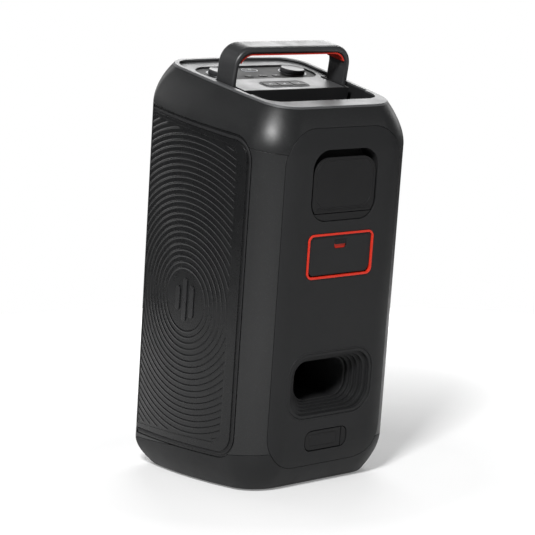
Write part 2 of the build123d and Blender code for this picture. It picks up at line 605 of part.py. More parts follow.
def handle():
    """A broad arch on two pins, with a soft liner under the grip and a cover on top of it."""
    t0, t1 = HINGE_T - HANDLE_DEEP / 2, HINGE_T + HANDLE_DEEP / 2
    inner_half, inner_top = HANDLE_HALF - 8, HANDLE_TOP - HANDLE_THICK - GRIP_LINER
    outer = arch(HANDLE_HALF, HANDLE_TOP, 28)
    hollow = arch(inner_half, inner_top + GRIP_LINER, 20 + GRIP_LINER)
    frame = across_deck(outer - hollow, t0, t1)
    axis_end = DECK * Pos(0, HINGE_T, HINGE_H) * Rot(Y=90) * Cylinder(HANDLE_DEEP / 2, 400)
    above = on_deck(-200, 200, t0, t1, HINGE_H, 200)
    frame &= above + axis_end
    long_edges = frame.edges().filter_by(lambda e: e.center().Z > DECK_V + 30 and e.length > 100)
    frame = fillet(long_edges, 3.8)
    pin_hole = DECK * Pos(0, HINGE_T, HINGE_H) * Rot(Y=90) * Cylinder(PIN_R + RUN, 400)
    keep("handle_frame", frame - pin_hole)
    liner = arch(inner_half, inner_top + GRIP_LINER, 20 + GRIP_LINER)
    liner -= arch(inner_half - GRIP_LINER, inner_top, 20)
    liner &= Pos(0, 60) * Rectangle(400, 2 * (60 - inner_top + 11))
    keep("handle_grip", across_deck(liner, t0 + 2, t1 - 2))
    pins = [DECK * Pos(side * (ARM_SLOT_IN + ARM_SLOT_OUT) / 2, HINGE_T, HINGE_H) * Rot(Y=90)
            * Cylinder(PIN_R, ARM_SLOT_OUT - ARM_SLOT_IN) for side in (-1, 1)]
    keep("handle_pins", *pins)


# ---------------------------------------------------------------- inside and underneath
def inside():
    """Electronics, brace and feet."""
    shelf = outline(**BODY, inset=WALL + 0.6) & rect_2d(-200, 200, BAFFLE_FRONT + BAFFLE_T + 1, 200)
    shelf -= rounded(-100, 100, -118, 96, 20)
    keep("brace_shelf", Pos(0, 0, 304) * prism(shelf, 6))
    supply = block(-62, 62, -20, 90, 236, 240)
    coil = block(-20, 14, 0, 36, 240, 268, 4) + block(24, 54, 4, 30, 240, 262, 3)
    keep("power_supply", supply + coil)
    frame = block(-66, 66, -24, 94, 222, 228) - block(-46, 46, -6, 76, 200, 240)
    for x in (-54, 54):
        for s in (-14, 84):
            frame += block(x - 5, x + 5, s - 5, s + 5, 227, 236)
    keep("supply_frame", frame)
    board = block(-54, 54, 60, 62, 404, 490)
    fins = [block(x - 1.5, x + 1.5, 32, 60, 414, 480) for x in range(-36, 37, 12)]
    keep("amplifier_board", board)
    sink = block(-40, 40, 52, 60, 412, 482)
    for fin in fins:
        sink += fin
    keep("amplifier_heatsink", sink)
    foot = Pos(0, 0, FOOT / 2) * Cylinder(12, FOOT)
    feet = [Pos(x, y, 0) * fillet(foot.edges().group_by(Axis.Z)[0], 0.8)
            for x in (-84, 84) for y in (-112, 72)]
    keep("rubber_feet", *feet, lean=False)


rear_face = covers()
front()
drivers()
rear_port()
keep("cover_hinge_strips", rear_sockets(rear_face), mains(rear_face))
battery()
deck()
controls()
handle()
inside()

os.makedirs("parts", exist_ok=True)
for name, shape in made.items():
    export_step(shape, f"parts/{name}.step")
everything = Compound(children=list(made.values())).bounding_box()
print(len(made), "nodes", everything.min, everything.max)
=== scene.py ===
"""Party speaker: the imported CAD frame, finished for rendering. Lengths in the helpers are millimetres in the
cabinet's own leaning frame (x across, s from front to rear, v up the leaning back)."""

import json
import math

import bpy
import numpy as np
from mathutils import Matrix, Vector

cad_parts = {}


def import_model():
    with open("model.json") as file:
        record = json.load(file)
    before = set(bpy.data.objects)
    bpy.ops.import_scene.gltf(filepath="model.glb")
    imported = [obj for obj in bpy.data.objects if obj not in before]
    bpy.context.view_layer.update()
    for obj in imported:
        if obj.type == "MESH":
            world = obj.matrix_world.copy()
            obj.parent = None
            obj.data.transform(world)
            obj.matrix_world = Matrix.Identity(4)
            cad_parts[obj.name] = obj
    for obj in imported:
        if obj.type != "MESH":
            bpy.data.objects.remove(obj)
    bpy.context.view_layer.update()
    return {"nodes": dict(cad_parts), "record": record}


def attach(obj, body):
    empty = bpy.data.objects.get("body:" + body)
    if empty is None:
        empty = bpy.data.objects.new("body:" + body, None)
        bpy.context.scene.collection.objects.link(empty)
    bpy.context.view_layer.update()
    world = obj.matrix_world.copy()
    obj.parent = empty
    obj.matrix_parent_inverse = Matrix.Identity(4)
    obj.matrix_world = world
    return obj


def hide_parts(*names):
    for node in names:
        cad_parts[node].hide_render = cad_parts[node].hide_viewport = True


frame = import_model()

LEAN = math.radians(6.1)
CENTRE_Y = -9.75
DECK_TILT = math.radians(7.18)
DECK_V = 566.5
REAR = 125.9
DECK_SLOPE = -math.tan(DECK_TILT)
CAP_SEAM_V, BASE_SEAM_V, BASE_SEAM_SLOPE = 507.6, 51.7, 0.17

HINGE_T = -26.5
HANDLE_HALF, HANDLE_TOP, HANDLE_DEEP = 103.6, 53.0, 40.0
KNOB_X, KNOB_T = 65.0, -86.0
POWER_T, FUNCTION_T, PAD_T, PAD_PITCH = -104.0, -73.0, -21.0, 24.5
FUNCTION_X = (23.5, -1.0, -25.5)
SMOOTH_BELOW = math.radians(28)
BAND_FRONT, BAND_REAR, BAND_R = -142.0, 51.0, 30.4
AZIMUTH, ELEVATION, DISTANCE = math.radians(142), math.radians(8), 2.754
AIM_HEIGHT, LENS, SENSOR = 0.298, 127.85, 36.0


# ------------------------------------------------------------------ places
def world(p):
    """Local millimetres to row-frame metres, for one point or an array of them."""
    p = np.asarray(p, float)
    x, s, v = p[..., 0], p[..., 1], p[..., 2]
    cos, sin = math.cos(LEAN), math.sin(LEAN)
    return np.stack([x, s * cos + v * sin + CENTRE_Y, v * cos - s * sin], -1) / 1000


def deck(p):
    """A point in the deck's frame (x, t to the rear, h out of the deck) to the local frame."""
    p = np.asarray(p, float)
    x, t, h = p[..., 0], p[..., 1], p[..., 2]
    cos, sin = math.cos(DECK_TILT), math.sin(DECK_TILT)
    return np.stack([x, t * cos + h * sin, DECK_V - t * sin + h * cos], -1)


def arc_through(p, q, r):
    """Centre and radius of the circle through three points."""
    a = 2 * np.array([[q[0] - p[0], q[1] - p[1]], [r[0] - p[0], r[1] - p[1]]], float)
    b = np.array([q[0] ** 2 + q[1] ** 2 - p[0] ** 2 - p[1] ** 2,
                  r[0] ** 2 + r[1] ** 2 - p[0] ** 2 - p[1] ** 2], float)
    c = np.linalg.solve(a, b)
    return c, math.hypot(p[0] - c[0], p[1] - c[1])


SIDE_C, SIDE_R = arc_through((137.0, -151.5), (145.0, -40.0), (124.1, 125.9))
FRONT_C, FRONT_R = arc_through((-137.0, -151.5), (0.0, -161.5), (137.0, -151.5))


def side_x(s):
    return SIDE_C[0] + np.sqrt(SIDE_R ** 2 - (s - SIDE_C[1]) ** 2)


def front_s(x):
    return FRONT_C[1] - np.sqrt(FRONT_R ** 2 - x ** 2)


# ------------------------------------------------------------------ node materials
class Nodes:
    """A few short calls for building a node material."""

    def __init__(self, name):
        self.mat = bpy.data.materials.new(name)
        self.mat.use_nodes = True
        self.tree = self.mat.node_tree
        self.tree.nodes.clear()
        self.out = self.add("ShaderNodeOutputMaterial")
        self.shader = self.add("ShaderNodeBsdfPrincipled")
        self.link(self.shader.outputs[0], self.out.inputs[0])
        self.place = self.add("ShaderNodeTexCoord").outputs["Object"]

    def add(self, kind, **values):
        node = self.tree.nodes.new(kind)
        for key, value in values.items():
            setattr(node, key, value)
        return node

    def link(self, a, b):
        self.tree.links.new(a, b)

    def noise(self, scale, detail=2.0, rough=0.5, place=None):
        node = self.add("ShaderNodeTexNoise")
        node.inputs["Scale"].default_value = scale
        node.inputs["Detail"].default_value = detail
        node.inputs["Roughness"].default_value = rough
        self.link(place or self.place, node.inputs["Vector"])
        return node.outputs["Fac"]

    def stretched(self, sx, sy, sz):
        node = self.add("ShaderNodeMapping")
        node.inputs["Scale"].default_value = (sx, sy, sz)
        self.link(self.place, node.inputs["Vector"])
        return node.outputs[0]

    def math(self, op, a, b=0.5, clamp=False):
        node = self.add("ShaderNodeMath", operation=op, use_clamp=clamp)
        for socket, value in zip(node.inputs, (a, b)):
            if isinstance(value, (int, float)):
                socket.default_value = value
            else:
                self.link(value, socket)
        return node.outputs[0]

    def spread(self, fac, low, high, from_low=0.3, from_high=0.7):
        node = self.add("ShaderNodeMapRange")
        node.inputs["From Min"].default_value = from_low
        node.inputs["From Max"].default_value = from_high
        node.inputs["To Min"].default_value = low
        node.inputs["To Max"].default_value = high
        self.link(fac, node.inputs["Value"])
        return node.outputs[0]

    def mix(self, fac, a, b):
        node = self.add("ShaderNodeMix", data_type="RGBA")
        self.link(fac, node.inputs["Factor"])
        for socket, value in ((node.inputs[6], a), (node.inputs[7], b)):
            if isinstance(value, tuple):
                socket.default_value = (*value, 1.0)
            else:
                self.link(value, socket)
        return node.outputs[2]

    def bump(self, height, strength, distance, normal=None):
        node = self.add("ShaderNodeBump")
        node.inputs["Strength"].default_value = strength
        node.inputs["Distance"].default_value = distance
        self.link(height, node.inputs["Height"])
        if normal is not None:
            self.link(normal, node.inputs["Normal"])
        return node.outputs[0]

    def rounded_edges(self, radius):
        node = self.add("ShaderNodeBevel", samples=4)
        node.inputs["Radius"].default_value = radius
        return node.outputs[0]

    def edge_mask(self, soft):
        """1 along sharp edges, 0 on flat faces."""
        geo = self.add("ShaderNodeNewGeometry").outputs["Normal"]
        dot = self.add("ShaderNodeVectorMath", operation="DOT_PRODUCT")
        self.link(soft, dot.inputs[0])
        self.link(geo, dot.inputs[1])
        return self.spread(dot.outputs["Value"], 1.0, 0.0, 0.86, 0.995)

    def set(self, **values):
        for key, value in values.items():
            socket = self.shader.inputs[key.replace("_", " ")]
            if isinstance(value, (int, float)):
                socket.default_value = value
            elif isinstance(value, tuple):
                socket.default_value = (*value, 1.0)
            else:
                self.link(value, socket)


def shade(c, k):
    return tuple(min(1.0, v * k) for v in c)


def moulded(name, base, rough, grain=900.0, grain_depth=0.5, fleck=0.0, edge=0.8, coat=0.0, metallic=0.0,
            mottling=0.12, spec=0.5):
    """Moulded or coated plastic: fine grain, slow mottling, optional metallic flecks, rubbed edges."""
    n = Nodes(name)
    soft = n.rounded_edges(edge / 1000)
    slow = n.noise(9.0, 3.0)
    fine = n.noise(grain, 2.0, 0.6)
    colour = n.mix(n.spread(slow, 0.0, 1.0), shade(base, 1 - mottling), shade(base, 1 + mottling))
    colour = n.mix(n.spread(fine, 0.0, 1.0), colour, shade(base, 1.35))
    if fleck:
        spots = n.noise(grain * 0.55, 1.0, 0.4)
        colour = n.mix(n.spread(spots, 0.0, 1.0, 0.6, 0.74), colour, shade(base, 1 + fleck))
    colour = n.mix(n.math("MULTIPLY", n.edge_mask(soft), 0.5), colour, shade(base, 2.0))
    dull = n.noise(30.0, 4.0, 0.6)
    n.set(Base_Color=colour, Roughness=n.spread(dull, rough - 0.05, rough + 0.05), Metallic=metallic,
          Coat_Weight=coat, Coat_Roughness=0.12, Specular_IOR_Level=spec,
          Normal=n.bump(fine, grain_depth, 0.00025, soft))
    return n.mat


def brushed(name, base, rough, along=(30.0, 900.0, 900.0), metallic=1.0):
    """Metal with fine lines along one row axis."""
    n = Nodes(name)
    soft = n.rounded_edges(0.0006)
    lines = n.noise(1.0, 3.0, 0.6, n.stretched(*along))
    n.set(Base_Color=n.mix(n.spread(lines, 0.0, 1.0), shade(base, 0.85), shade(base, 1.12)),
          Metallic=metallic,
          Roughness=n.spread(lines, rough - 0.06, rough + 0.08), Normal=n.bump(lines, 0.15, 0.0001, soft))
    return n.mat


def wood_fibre(name, base):
    n = Nodes(name)
    fibres = n.noise(1.0, 4.0, 0.65, n.stretched(260.0, 700.0, 120.0))
    n.set(Base_Color=n.mix(n.spread(fibres, 0.0, 1.0), shade(base, 0.6), shade(base, 1.3)), Roughness=0.8,
          Normal=n.bump(fibres, 0.4, 0.0004))
    return n.mat


def circuit(name, base):
    """Solder mask with faint tracks under it."""
    n = Nodes(name)
    tracks = n.add("ShaderNodeTexBrick")
    tracks.inputs["Scale"].default_value = 90.0
    tracks.inputs["Mortar Size"].default_value = 0.03
    tracks.inputs["Color1"].default_value = (*base, 1)
    tracks.inputs["Color2"].default_value = (*shade(base, 0.8), 1)
    tracks.inputs["Mortar"].default_value = (*shade(base, 2.0), 1)
    n.link(n.place, tracks.inputs["Vector"])
    n.set(Base_Color=tracks.outputs["Color"], Roughness=n.spread(n.noise(60.0), 0.3, 0.45))
    return n.mat


MATERIALS = {
    "body_metallic": moulded("coated_shell", (0.0085, 0.0087, 0.009), 0.38, 1500.0, 0.3, fleck=1.3,
                             spec=0.32),
    "body_matte": moulded("matte_shell", (0.0105, 0.0107, 0.0111), 0.5, 1400.0, 0.35, spec=0.16),
    "deck_grey": moulded("deck_coat", (0.06, 0.061, 0.063), 0.42, 1500.0, 0.25, fleck=0.5, metallic=0.3,
                         spec=0.6),
    "panel_gloss": moulded("satin_panel", (0.0095, 0.0095, 0.01), 0.5, 1200.0, 0.15, mottling=0.05,
                           spec=0.06),
    "pocket_dark": moulded("pocket_moulding", (0.006, 0.006, 0.0065), 0.6, 1100.0, 0.6, spec=0.3),
    "knob": moulded("knob_satin", (0.022, 0.022, 0.0235), 0.36, 1200.0, 0.2, spec=0.3),
    "key": moulded("key_satin", (0.011, 0.011, 0.0117), 0.46, 1400.0, 0.25, spec=0.12),
    "handle_shell": moulded("handle_coat", (0.015, 0.0153, 0.016), 0.4, 1500.0, 0.25, fleck=1.0, spec=0.5),
    "accent": moulded("accent_rubber", (0.42, 0.016, 0.005), 0.5, 1400.0, 0.3, mottling=0.06, edge=0.4,
                      spec=0.3),
    "soft_cover": moulded("soft_cover_rubber", (0.0078, 0.0078, 0.0081), 0.5, 1600.0, 0.5, spec=0.16),
    "rubber_feet": moulded("foot_rubber", (0.012, 0.012, 0.0125), 0.8, 800.0, 0.8),
    "grille_metal": moulded("powder_coat", (0.009, 0.009, 0.0095), 0.45, 1500.0, 0.35),
    "light_ring": moulded("diffuser", (0.3, 0.31, 0.33), 0.3, 300.0, 0.05, coat=0.2, mottling=0.03),
    "badge": moulded("badge_satin", (0.007, 0.007, 0.0075), 0.3, 900.0, 0.03, edge=1.2, spec=0.35),
    "baffle_wood": wood_fibre("pressed_fibre", (0.2, 0.13, 0.075)),
    "basket": moulded("basket_coat", (0.02, 0.02, 0.021), 0.45, 900.0, 0.5),
    "magnet": moulded("ferrite", (0.05, 0.05, 0.053), 0.6, 500.0, 0.8, metallic=0.2),
    "surround": moulded("surround_rubber", (0.015, 0.015, 0.016), 0.6, 1000.0, 0.5),
    "cone": moulded("pressed_cone", (0.035, 0.035, 0.037), 0.55, 350.0, 1.0),
    "tweeter": moulded("horn_satin", (0.02, 0.02, 0.021), 0.35, 900.0, 0.2),
    "tray": moulded("tray_moulding", (0.007, 0.007, 0.0075), 0.6, 1100.0, 0.6, spec=0.3),
    "socket": moulded("socket_body", (0.012, 0.012, 0.013), 0.3, 900.0, 0.2),
    "contact": brushed("contact_brass", (0.78, 0.6, 0.3), 0.25),
    "pack": moulded("pack_case", (0.05, 0.05, 0.053), 0.55, 900.0, 0.6),
    "board": circuit("solder_mask", (0.02, 0.1, 0.045)),
    "heatsink": brushed("extrusion", (0.55, 0.56, 0.57), 0.35, (700.0, 700.0, 30.0)),
    "steel": brushed("plain_steel", (0.6, 0.6, 0.6), 0.3),
}
FIELD = moulded("field_coat", (0.0052, 0.0053, 0.0056), 0.27, 1500.0, 0.2, fleck=0.8, spec=0.24)
ICON = moulded("printed_mark", (0.24, 0.245, 0.25), 0.5, 500.0, 0.1, mottling=0.03)
EDGE_LIGHT = moulded("trim_satin", (0.07, 0.072, 0.076), 0.36, 900.0, 0.1, metallic=0.8)

for part in frame["record"]["subparts"]:
    node = frame["nodes"][part["node"]]
    node.data.materials.clear()
    node.data.materials.append(MATERIALS[part["material_slot"]])
    if hasattr(node.data, "shade_auto_smooth"):
        node.data.shade_auto_smooth(angle=SMOOTH_BELOW)


# ------------------------------------------------------------------ mesh helpers
def piece(name, points, faces, slot, body="cabinet", material=None, smooth=True):
    """A mesh from local millimetre points, riding on a body."""
    mesh = bpy.data.meshes.new(name)
    points = world(points)
    mesh.from_pydata([tuple(p) for p in points], [], faces)
    mesh.polygons.foreach_set("use_smooth", [smooth] * len(mesh.polygons))
    mesh.materials.append(material or MATERIALS[slot])
    mesh.update()
    obj = bpy.data.objects.new(name, mesh)
    bpy.context.scene.collection.objects.link(obj)
    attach(obj, body)
    return obj


def big_piece(name, points, quads, slot, body="cabinet", material=None):
    """The same for large meshes: points and quads are arrays."""
    mesh = bpy.data.meshes.new(name)
    points = world(points)
    mesh.vertices.add(len(points))
    mesh.vertices.foreach_set("co", points.ravel().astype(np.float32))
    mesh.loops.add(quads.size)
    mesh.loops.foreach_set("vertex_index", quads.ravel().astype(np.int32))
    mesh.polygons.add(len(quads))
    mesh.polygons.foreach_set("loop_start", np.arange(0, quads.size, 4, dtype=np.int32))
    mesh.polygons.foreach_set("use_smooth", np.ones(len(quads), bool))
    mesh.materials.append(material or MATERIALS[slot])
    mesh.update(calc_edges=True)
    obj = bpy.data.objects.new(name, mesh)
    bpy.context.scene.collection.objects.link(obj)
    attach(obj, body)
    return obj


def grid_quads(rows, cols, closed=False):
    """Quads of a grid of rows by cols points. closed joins the last column to the first."""
    last = cols if closed else cols - 1
    i, j = np.meshgrid(np.arange(rows - 1), np.arange(last), indexing="ij")
    k = (j + 1) % cols
    return np.stack([i * cols + j, i * cols + k, (i + 1) * cols + k, (i + 1) * cols + j], -1).reshape(-1, 4)


def lathe(name, profile, centre, slot, body, to_local=deck, steps=96, wave=None, material=None):
    """A profile of (radius, height) turned about a line out of the deck. wave(r, h, angle) sets r."""
    angle = np.linspace(0, 2 * math.pi, steps, endpoint=False)
    rows = []
    for r, h in profile:
        rr = np.full(steps, float(r)) if wave is None else wave(r, h, angle)
        rows.append(np.stack([centre[0] + rr * np.cos(angle), centre[1] + rr * np.sin(angle),
                              np.full(steps, float(h))], -1))
    points = to_local(np.concatenate(rows))
    return big_piece(name, points, grid_quads(len(profile), steps, True), slot, body, material)


def rounded_loop(half_w, half_h, r, n=10):
    """A rounded rectangle as a closed loop of (x, y)."""
    pts = []
    for cx, cy, a0 in ((1, 1, 0), (-1, 1, 90), (-1, -1, 180), (1, -1, 270)):
        for k in range(n + 1):
            a = math.radians(a0 + 90 * k / n)
            pts.append((cx * (half_w - r) + r * math.cos(a), cy * (half_h - r) + r * math.sin(a)))
    return np.array(pts)


def bead(name, loop, radius, slot, body="cabinet", material=None, closed=True, sides=8, flat=1.0, up=None):
    """A bead of round or flattened section along a loop of local points."""
    loop = np.asarray(loop, float)
    ahead = np.roll(loop, -1, 0) - np.roll(loop, 1, 0)
    if not closed:
        ahead[0], ahead[-1] = loop[1] - loop[0], loop[-1] - loop[-2]
    ahead /= np.linalg.norm(ahead, axis=1)[:, None]
    up = np.asarray(up if up is not None else (0, 0, 1), float)
    out = np.cross(ahead, up)
    out /= np.linalg.norm(out, axis=1)[:, None]
    rise = np.cross(out, ahead)
    a = np.linspace(0, 2 * math.pi, sides, endpoint=False)
    ring = (loop[:, None] + radius * np.cos(a)[None, :, None] * out[:, None]
            + radius * flat * np.sin(a)[None, :, None] * rise[:, None])
    n = len(loop)
    i, j = np.meshgrid(np.arange(n if closed else n - 1), np.arange(sides), indexing="ij")
    i2, j2 = (i + 1) % n, (j + 1) % sides
    quads = np.stack([i * sides + j, i2 * sides + j, i2 * sides + j2, i * sides + j2], -1).reshape(-1, 4)
    return big_piece(name, ring.reshape(-1, 3), quads, slot, body, material)


def plate(name, outline, h0, h1, slot, body, to_local, material=None, chamfer=0.25):
    """A thin flat plate with a small chamfer, from a loop of (x, y) between two heights."""
    outline = np.asarray(outline, float)
    centre = outline.mean(0)
    size = np.abs(outline - centre).max()
    small = centre + (outline - centre) * (1 - chamfer / size)
    n = len(outline)
    rows = [(outline, h0), (outline, h1 - chamfer), (small, h1)]
    points = np.concatenate([np.column_stack([o, np.full(n, h)]) for o, h in rows])
    faces = [tuple(q) for q in grid_quads(3, n, True)] + [tuple(range(2 * n, 3 * n))]
    return piece(name, to_local(points), faces, slot, body, material, smooth=False)


def on_rear(p):
    """(x, v, height out of the rear face) to the local frame."""
    p = np.asarray(p, float)
    return np.stack([p[..., 0], REAR + p[..., 2], p[..., 1]], -1)


# ------------------------------------------------------------------ side panels
RING_S, RING_V, RING_PITCH = -33.0, 262.0, 8.56
FIELD_FRONT, FIELD_REAR, FIELD_R = -142.6, 59.7, 20.0
CLEARING = 40.0


def field_line(s, ends):
    return ends[0] + (ends[1] - ends[0]) * (s + 260) / 320


def ringed_field(side, name):
    """Raised rings round the badge, as real relief in the panel's shallow recess."""
    s = np.linspace(FIELD_FRONT, FIELD_REAR, 260)
    round_off = np.clip(s - (FIELD_REAR - FIELD_R), 0, FIELD_R)
    drop = FIELD_R - np.sqrt(FIELD_R ** 2 - round_off ** 2)
    low = field_line(s, (34.3, 76.3)) + drop * 0.98
    high = field_line(s, (519.7, 494.7)) - drop * 0.98
    w = np.linspace(0, 1, 560)[:, None]
    v = low + (high - low) * w
    ss = np.broadcast_to(s, v.shape)
    r = np.hypot(ss - RING_S, v - RING_V)
    off = np.abs((r - 7.0) / RING_PITCH % 1 - 0.5) * RING_PITCH
    ridge = np.clip(1 - (off / 1.25) ** 2, 0, 1) ** 1.5
    near = np.minimum.reduce([(v - low), (high - v), FIELD_REAR - ss])
    fade = np.clip((near - 2.2) / 1.2, 0, 1) * np.clip((r - CLEARING) / 1.5, 0, 1)
    height = -0.92 + 0.72 * ridge * fade
    x = side_x(ss) + height
    points = np.stack([side * x, ss, v], -1).reshape(-1, 3)
    quads = grid_quads(560, 260)
    if side < 0:
        quads = quads[:, ::-1]
    big_piece(name, points, quads, "body_metallic", material=FIELD)


def edge_band(side, name):
    """The dark raised line in the groove round a side panel."""
    top = [(s, 524.5 - 20 * (s + 260) / 345) for s in np.linspace(BAND_FRONT, BAND_REAR, 40)]
    low = [(s, 27.5 + 36 * (s + 260) / 345) for s in np.linspace(BAND_FRONT, BAND_REAR, 40)]
    turn = np.radians(np.linspace(90, 0, 14))[1:]
    upper = [(BAND_REAR + BAND_R * math.cos(a), top[-1][1] - BAND_R + BAND_R * math.sin(a)) for a in turn]
    lower = [(BAND_REAR + BAND_R * math.cos(a), low[-1][1] + BAND_R - BAND_R * math.sin(a))
             for a in turn[::-1]]
    path = top + upper + lower + low[::-1]
    loop = [(side * (side_x(s) - 1.35), s, v) for s, v in path]
    bead(name, loop, 2.3, "pocket_dark", closed=False, flat=0.3, up=(side, 0, 0))


for side, hand in ((1, "right"), (-1, "left")):
    ringed_field(side, f"ringed_field_{hand}")
    edge_band(side, f"side_edge_band_{hand}")
    frame["nodes"][f"side_panel_{hand}"].data.materials[0] = FIELD


# ------------------------------------------------------------------ front cover
def perforated_front():
    """A hexagon-pierced sheet over the front cover, and a plain border round it."""
    pitch, hole, half, margin = 4.2, 1.35, 122.0, 7.0
    corner = [math.radians(30 + 60 * k) for k in range(6)]
    cell = pitch / math.sqrt(3)
    index, points, quads = {}, [], []

    def vertex(x, v, lift):
        key = (round(x, 2), round(v, 2), lift)
        if key not in index:
            index[key] = len(points)
            points.append((x, front_s(x) - lift, v))
        return index[key]

    rows = int(520 / (pitch * math.sqrt(3) / 2))
    for row in range(rows):
        v = 10 + row * pitch * math.sqrt(3) / 2
        for col in range(-32, 33):
            x = (col + 0.5 * (row % 2)) * pitch
            s = front_s(x)
            top = CAP_SEAM_V + DECK_SLOPE * s - margin
            bottom = BASE_SEAM_V + BASE_SEAM_SLOPE * s + margin
            if abs(x) > half - pitch or not bottom + 2 < v < top - 2:
                continue
            outer = [vertex(x + cell * math.cos(a), v + cell * math.sin(a), 0.6) for a in corner]
            inner = [vertex(x + hole * math.cos(a), v + hole * math.sin(a), 0.6) for a in corner]
            deep = [vertex(x + hole * math.cos(a), v + hole * math.sin(a), 0.02) for a in corner]
            for k in range(6):
                m = (k + 1) % 6
                quads.append((outer[k], outer[m], inner[m], inner[k]))
                quads.append((inner[k], inner[m], deep[m], deep[k]))
    obj = big_piece("front_perforated_sheet", np.array(points), np.array(quads), "grille_metal")
    obj.data.polygons.foreach_set("use_smooth", [False] * len(obj.data.polygons))

    xs = np.linspace(-half, half, 60)
    s = front_s(xs)
    top = CAP_SEAM_V + DECK_SLOPE * s - margin
    bottom = BASE_SEAM_V + BASE_SEAM_SLOPE * s + margin
    loop = [(x, a - 0.5, t) for x, a, t in zip(xs, s, top)]
    loop += [(half, front_s(half) - 0.5, v) for v in np.linspace(top[-1], bottom[-1], 60)[1:-1]]
    loop += [(x, a - 0.5, b) for x, a, b in zip(xs[::-1], s[::-1], bottom[::-1])]
    loop += [(-half, front_s(half) - 0.5, v) for v in np.linspace(bottom[0], top[0], 60)[1:-1]]
    bead("front_sheet_border", loop, 2.6, "grille_metal", flat=0.35, up=(0, -1, 0))


perforated_front()


# ------------------------------------------------------------------ top controls
def knob(name, x, body):
    """A fluted knob with a dished top, on a polished collar."""
    def flutes(r, h, angle):
        grip = 1.0 if -4.6 < h < -0.2 and r > 16 else 0.0
        return r + grip * 0.32 * np.cos(44 * angle)

    profile = [(3.0, -5.6), (16.9, -5.6), (17.6, -5.3), (17.7, -4.4), (17.7, -3.4), (17.7, -2.4),
               (17.7, -1.4),
               (17.6, -0.5), (17.3, 0.3), (16.8, 0.8), (16.1, 1.0), (15.4, 0.9), (14.6, 0.55), (11.0, 0.35),
               (6.0, 0.22), (1.0, 0.2), (0.02, 0.2)]
    obj = lathe(name, profile, (x, KNOB_T), "knob", body, steps=264, wave=flutes)
    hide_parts({"left_knob": "knob_left", "right_knob": "knob_right"}[body])
    mark = rounded_loop(0.5, 2.6, 0.45, 4) + (x, KNOB_T - 11.5)
    plate(name + "_mark", mark, 0.3, 0.62, "light_ring", body, deck, material=ICON, chamfer=0.1)
    collar = [(18.6, -6.2), (18.7, -5.5), (19.3, -5.2), (20.6, -5.2), (21.2, -5.5), (21.3, -6.2)]
    lathe(name + "_collar", collar, (x, KNOB_T), "panel_gloss", "cabinet", material=EDGE_LIGHT)


knob("fluted_knob_left", -KNOB_X, "left_knob")
knob("fluted_knob_right", KNOB_X, "right_knob")


def deck_loop(loop, x, t, h):
    return deck(np.column_stack([loop + (x, t), np.full(len(loop), h)]))


DECK_UP = deck((0, 0, 1)) - deck((0, 0, 0))
bead("control_panel_edge", deck_loop(rounded_loop(99.3, 34.8, 30.2, 24), 0, -87.0, -4.9), 0.75,
     "panel_gloss",
     material=EDGE_LIGHT, up=DECK_UP)
bead("power_ring", deck_loop(rounded_loop(12.3, 7.3, 7.0, 12), 0, POWER_T, -5.9), 0.55, "light_ring",
     material=MATERIALS["light_ring"], up=DECK_UP)
bead("play_pad_edge", deck_loop(rounded_loop(39.2, 14.2, 8.7, 10), 0, PAD_T, -3.9), 0.5, "panel_gloss",
     material=EDGE_LIGHT, up=DECK_UP)


def mark(name, parts, x, t, h, body):
    """Small raised symbols on a key, from outlines in the deck's plane."""
    points, faces = [], []
    for part in parts:
        part = np.asarray(part, float)
        base = len(points)
        n = len(part)
        for hh in (h, h + 0.14):
            points += [(x + p[0], t + p[1], hh) for p in part]
        faces += [tuple(q + base) for q in grid_quads(2, n, True)] + [tuple(range(base + n, base + 2 * n))]
    piece(name, deck(np.array(points)), faces, "light_ring", body, ICON, smooth=False)


def arc_strips(r0, r1, a0, a1, n=16):
    """An arc as short four-sided strips."""
    a = np.radians(np.linspace(a0, a1, n + 1))
    return [[(r0 * math.cos(p), r0 * math.sin(p)), (r1 * math.cos(p), r1 * math.sin(p)),
             (r1 * math.cos(q), r1 * math.sin(q)), (r0 * math.cos(q), r0 * math.sin(q))] for p,
             q in zip(a, a[1:])]


def bar(x0, x1, y0, y1):
    return [(x0, y0), (x1, y0), (x1, y1), (x0, y1)]


mark("power_mark", arc_strips(1.9, 2.5, -240, 60) + [bar(-0.3, 0.3, 0.9, 3.1)], 0, POWER_T, -5.2,
     "power_key")
mark("light_mark", arc_strips(1.1, 1.5, 0, 360)
     + [[(2.0 * math.cos(a) - 0.2, 2.0 * math.sin(a) - 0.2),
         (2.0 * math.cos(a) + 0.2, 2.0 * math.sin(a) - 0.2),
         (2.6 * math.cos(a) + 0.2, 2.6 * math.sin(a) + 0.2),
         (2.6 * math.cos(a) - 0.2, 2.6 * math.sin(a) + 0.2)]
        for a in np.radians(range(0, 360, 60))], FUNCTION_X[0], FUNCTION_T, -5.4, "light_key")
mark("pairing_mark", arc_strips(0.9, 1.3, 20, 340) + arc_strips(1.9, 2.3, 40, 320), FUNCTION_X[1],
     FUNCTION_T, -5.4,
     "pairing_key")
mark("boost_mark", [bar(-2.2 + 1.5 * k, -1.4 + 1.5 * k, -1.8, -0.6 + 1.1 * k) for k in range(3)],
     FUNCTION_X[2],
     FUNCTION_T, -5.4, "boost_key")
mark("play_mark", [[(-1.9, -2.4), (2.3, 0), (-1.9, 2.4)]], 0, PAD_T, -3.1, "play_key")
mark("next_mark", [[(-2.6, -2.0), (0.6, 0), (-2.6, 2.0)], bar(1.2, 1.9, -2.0, 2.0)], -PAD_PITCH, PAD_T,
     -3.1, "next_key")
mark("back_mark", [[(2.6, 2.0), (-0.6, 0), (2.6, -2.0)], bar(-1.9, -1.2, -2.0, 2.0)], PAD_PITCH, PAD_T,
     -3.1, "back_key")


